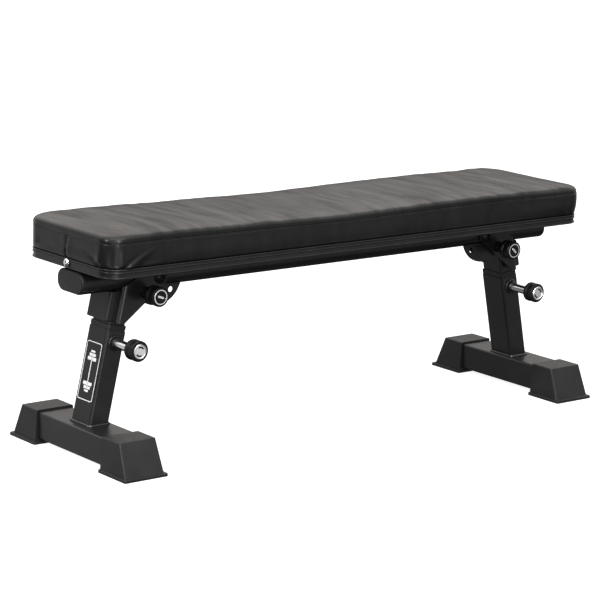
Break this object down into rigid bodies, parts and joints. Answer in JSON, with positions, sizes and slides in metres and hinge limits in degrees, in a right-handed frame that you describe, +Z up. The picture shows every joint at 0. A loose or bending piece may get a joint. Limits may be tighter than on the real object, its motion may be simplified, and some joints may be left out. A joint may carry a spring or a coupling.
{
  "type": "adjustable weight bench",
  "caption": "Flat padded weight bench on a steel spine with folding, height-adjustable telescopic legs, pull-pin locks and flared rubber feet.",
  "frame": {"origin": "on the floor at the middle of the bench's footprint", "axes": "+X along the bench from the labelled near leg to the far leg; +Y across the bench to the side without knobs; +Z up"},
  "size_m": [1.107, 0.372, 0.412],
  "materials": {
    "pad_vinyl": "black vinyl, satin, fine grain",
    "pad_foam": "soft open-cell foam",
    "plywood": "raw plywood",
    "trim_plastic": "black satin plastic edging",
    "bright_steel": "polished plated steel",
    "zinc_steel": "zinc plated steel",
    "black_steel": "black satin powder coat",
    "black_hardware": "black oxide steel",
    "cap_plastic": "black textured plastic",
    "foot_rubber": "black matt rubber",
    "knob_plastic": "black moulded plastic",
    "label_print": "black sticker with a pale outline"
  },
  "bodies": {
    "bench_top": {"pad_cover": "pad_vinyl", "pad_foam": "pad_foam", "pad_board": "plywood", "trim_band": "trim_plastic", "trim_screws": "bright_steel", "near_outer_pad_strap": "black_steel", "near_inner_pad_strap": "black_steel", "far_inner_pad_strap": "black_steel", "far_outer_pad_strap": "black_steel", "pad_bolts": "black_hardware", "pad_tee_nuts": "zinc_steel", "spine_tube": "black_steel", "near_spine_cap": "cap_plastic", "far_spine_cap": "cap_plastic", "near_lock_plate": "black_steel", "far_lock_plate": "black_steel", "pivot_sleeves": "zinc_steel", "pivot_bolts": "black_hardware", "pivot_nuts": "black_hardware", "pivot_washers": "black_hardware"},
    "near_upper_leg": {"near_leg_bracket": "black_steel", "near_inner_tube": "black_steel", "near_tube_glide": "cap_plastic", "near_fold_housing": "black_hardware", "near_fold_spring": "zinc_steel"},
    "near_lower_leg": {"near_outer_tube": "black_steel", "near_guide_bush": "cap_plastic", "near_cross_tube": "black_steel", "near_front_foot": "foot_rubber", "near_back_foot": "foot_rubber", "near_height_boss": "black_steel", "near_height_barrel": "bright_steel", "near_height_spring": "zinc_steel", "near_leg_label": "label_print"},
    "near_fold_lock": {"near_fold_pin": "zinc_steel", "near_fold_knob": "knob_plastic"},
    "near_height_lock": {"near_height_pin": "zinc_steel", "near_height_knob": "knob_plastic", "near_knob_cap": "bright_steel"},
    "far_upper_leg": {"far_leg_bracket": "black_steel", "far_inner_tube": "black_steel", "far_tube_glide": "cap_plastic", "far_fold_housing": "black_hardware", "far_fold_spring": "zinc_steel"},
    "far_lower_leg": {"far_outer_tube": "black_steel", "far_guide_bush": "cap_plastic", "far_cross_tube": "black_steel", "far_front_foot": "foot_rubber", "far_back_foot": "foot_rubber", "far_height_boss": "black_steel", "far_height_barrel": "bright_steel", "far_height_spring": "zinc_steel"},
    "far_fold_lock": {"far_fold_pin": "zinc_steel", "far_fold_knob": "knob_plastic"},
    "far_height_lock": {"far_height_pin": "zinc_steel", "far_height_knob": "knob_plastic", "far_knob_cap": "bright_steel"}
  },
  "joints": [
    {"name": "near_leg_fold", "type": "hinge", "parent": "bench_top", "child": "near_upper_leg", "pos_m": [-0.3835, 0, 0.314], "axis": [0, -1, 0], "range_deg": [0, 100]},
    {"name": "near_leg_extension", "type": "slide", "parent": "near_upper_leg", "child": "near_lower_leg", "axis": [0.2079, 0, 0.9781], "range_m": [-0.08, 0]},
    {"name": "near_fold_pin_pull", "type": "slide", "parent": "near_upper_leg", "child": "near_fold_lock", "axis": [0, -1, 0], "range_m": [-0.007, 0.002], "stiffness_N_per_m": 600, "springref_m": -0.009, "deforming": ["near_fold_spring"]},
    {"name": "near_height_pin_pull", "type": "slide", "parent": "near_lower_leg", "child": "near_height_lock", "axis": [0, -1, 0], "range_m": [-0.008, 0.002], "stiffness_N_per_m": 600, "springref_m": -0.01, "deforming": ["near_height_spring"]},
    {"name": "far_leg_fold", "type": "hinge", "parent": "bench_top", "child": "far_upper_leg", "pos_m": [0.3835, 0, 0.314], "axis": [0, 1, 0], "range_deg": [0, 100]},
    {"name": "far_leg_extension", "type": "slide", "parent": "far_upper_leg", "child": "far_lower_leg", "axis": [-0.2079, 0, 0.9781], "range_m": [-0.08, 0]},
    {"name": "far_fold_pin_pull", "type": "slide", "parent": "far_upper_leg", "child": "far_fold_lock", "axis": [0, -1, 0], "range_m": [-0.007, 0.002], "stiffness_N_per_m": 600, "springref_m": -0.009, "deforming": ["far_fold_spring"]},
    {"name": "far_height_pin_pull", "type": "slide", "parent": "far_lower_leg", "child": "far_height_lock", "axis": [0, -1, 0], "range_m": [-0.008, 0.002], "stiffness_N_per_m": 600, "springref_m": -0.01, "deforming": ["far_height_spring"]}
  ]
}
